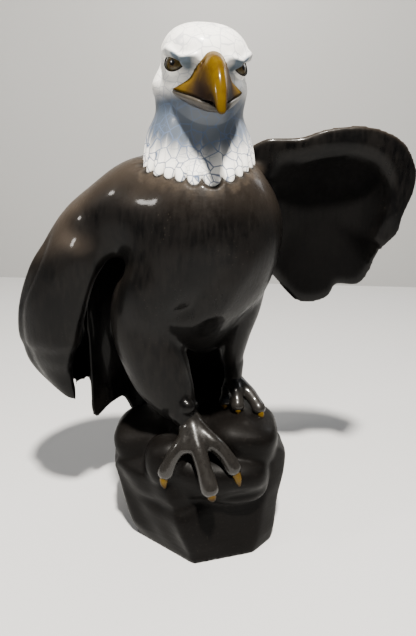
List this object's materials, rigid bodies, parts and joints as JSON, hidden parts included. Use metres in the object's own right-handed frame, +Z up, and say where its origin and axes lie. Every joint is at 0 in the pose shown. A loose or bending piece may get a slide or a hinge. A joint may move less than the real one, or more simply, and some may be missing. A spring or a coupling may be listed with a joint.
{
  "type": "ceramic bald eagle figurine",
  "caption": "Glazed ceramic statue of a bald eagle alighting on a rock, one wing raised and open, the other drooping, white crackle-glazed head and neck.",
  "frame": {"origin": "on the flat underside of the rock, below the bird's breast, at the level the statue rests on", "axes": "+Z up, -Y towards the viewer and the bird's breast, +X towards the bird's left, the side of the raised wing"},
  "size_m": [0.3125, 0.1443, 0.3875],
  "materials": {
    "dark_glaze": "glossy brown-black glaze, browner on the shoulders",
    "white_crackle": "glossy white glaze with blue-grey crackle",
    "bill_ochre": "glossy ochre glaze with brown shading",
    "horn_glaze": "glossy brown-grey glaze",
    "eye_glaze": "glossy amber-brown glaze with a dark pupil"
  },
  "bodies": {
    "root": {"rock_base": "dark_glaze", "trunk": "dark_glaze", "neck": "white_crackle", "head": "white_crackle", "bill_upper": "bill_ochre", "bill_lower": "horn_glaze", "eye_left": "eye_glaze", "eye_right": "eye_glaze", "wing_left": "dark_glaze", "wing_right": "dark_glaze", "inner_feathers_right": "dark_glaze", "tail": "dark_glaze", "leg_left": "dark_glaze", "leg_right": "dark_glaze", "foot_left": "dark_glaze", "foot_right": "dark_glaze", "talon_left_inner": "bill_ochre", "talon_left_middle": "bill_ochre", "talon_left_outer": "bill_ochre", "talon_left_hind": "bill_ochre", "talon_right_inner": "bill_ochre", "talon_right_middle": "bill_ochre", "talon_right_outer": "bill_ochre", "talon_right_hind": "bill_ochre"}
  },
  "joints": []
}
